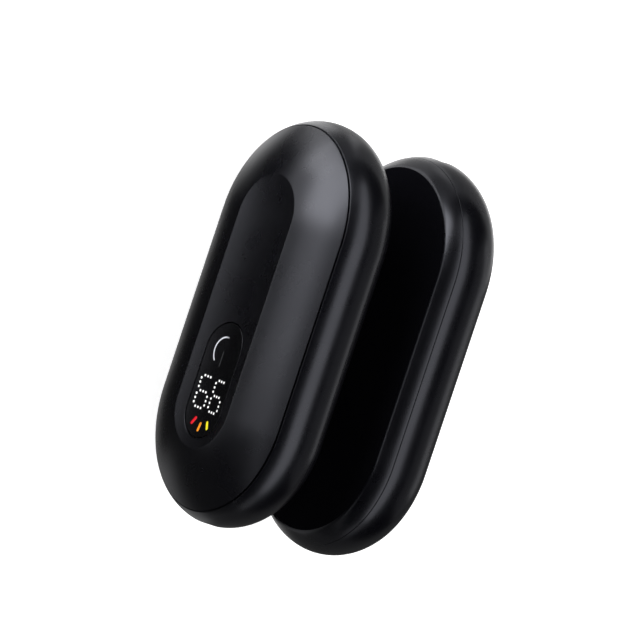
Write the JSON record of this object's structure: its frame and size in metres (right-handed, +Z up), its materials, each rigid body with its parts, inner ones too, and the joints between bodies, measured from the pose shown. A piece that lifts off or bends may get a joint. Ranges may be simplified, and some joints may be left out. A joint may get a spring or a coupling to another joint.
{
  "type": "rechargeable hand warmer",
  "caption": "Rechargeable hand warmer in capsule-shaped halves that join face to face by magnets, each with a domed cover, thumb dish, lit display key and charging socket.",
  "frame": {"origin": "middle of the pair, on the floor it stands on", "axes": "+X along the halves towards the front half's display key and port, +Y from the front half to the rear half, +Z up"},
  "size_m": [0.099, 0.0556, 0.054],
  "materials": {
    "case_black": "fine satin moulded texture",
    "contact_black": "smooth satin moulded face",
    "smoked_panel": "satin-polished smoked panel",
    "white_reflector": "moulded",
    "circuit_board": "solder-masked laminate",
    "plated_steel": "zinc plated",
    "switch_black": "moulded",
    "plunger_grey": "moulded",
    "lamp_white": "clear encapsulated",
    "lamp_red": "tinted encapsulated",
    "lamp_amber": "tinted encapsulated",
    "lamp_yellow": "tinted encapsulated",
    "socket_steel": "drawn and nickel plated",
    "socket_black": "moulded with gilt contacts",
    "spreader_aluminium": "rolled sheet",
    "film_amber": "polyimide film",
    "foam_pad": "closed-cell foam",
    "cell_foil": "laminated foil pouch",
    "bead_black": "dipped bead",
    "magnet_nickel": "nickel plated"
  },
  "bodies": {
    "front_half": {"front_outer_cover": "case_black", "front_side_frame": "case_black", "front_contact_cover": "contact_black", "front_key_carrier": "white_reflector", "front_main_board": "circuit_board", "front_board_screws": "plated_steel", "front_switch_body": "switch_black", "front_power_led": "lamp_white", "front_red_led": "lamp_red", "front_amber_led": "lamp_amber", "front_yellow_led": "lamp_yellow", "front_digit_leds": "lamp_white", "front_usb_shell": "socket_steel", "front_usb_tongue": "socket_black", "front_charge_board": "circuit_board", "front_heat_spreader": "spreader_aluminium", "front_heater_film": "film_amber", "front_battery_pad": "foam_pad", "front_battery": "cell_foil", "front_thermistor": "bead_black", "front_magnets": "magnet_nickel"},
    "rear_half": {"rear_outer_cover": "case_black", "rear_side_frame": "case_black", "rear_contact_cover": "contact_black", "rear_key_carrier": "white_reflector", "rear_main_board": "circuit_board", "rear_board_screws": "plated_steel", "rear_switch_body": "switch_black", "rear_power_led": "lamp_white", "rear_red_led": "lamp_red", "rear_amber_led": "lamp_amber", "rear_yellow_led": "lamp_yellow", "rear_digit_leds": "lamp_white", "rear_usb_shell": "socket_steel", "rear_usb_tongue": "socket_black", "rear_charge_board": "circuit_board", "rear_heat_spreader": "spreader_aluminium", "rear_heater_film": "film_amber", "rear_battery_pad": "foam_pad", "rear_battery": "cell_foil", "rear_thermistor": "bead_black", "rear_magnets": "magnet_nickel"},
    "front_key": {"front_display_key": "smoked_panel", "front_switch_plunger": "plunger_grey"},
    "rear_key": {"rear_display_key": "smoked_panel", "rear_switch_plunger": "plunger_grey"}
  },
  "joints": [
    {"name": "halves_part", "type": "slide", "parent": "front_half", "child": "rear_half", "axis": [0, 1, 0], "range_m": [-0.0165, 0.04]},
    {"name": "front_key_press", "type": "slide", "parent": "front_half", "child": "front_key", "axis": [0, 1, 0], "range_m": [0, 0.0004], "stiffness_N_per_m": 1500},
    {"name": "rear_key_press", "type": "slide", "parent": "rear_half", "child": "rear_key", "axis": [0, -1, 0], "range_m": [0, 0.0004], "stiffness_N_per_m": 1500}
  ]
}
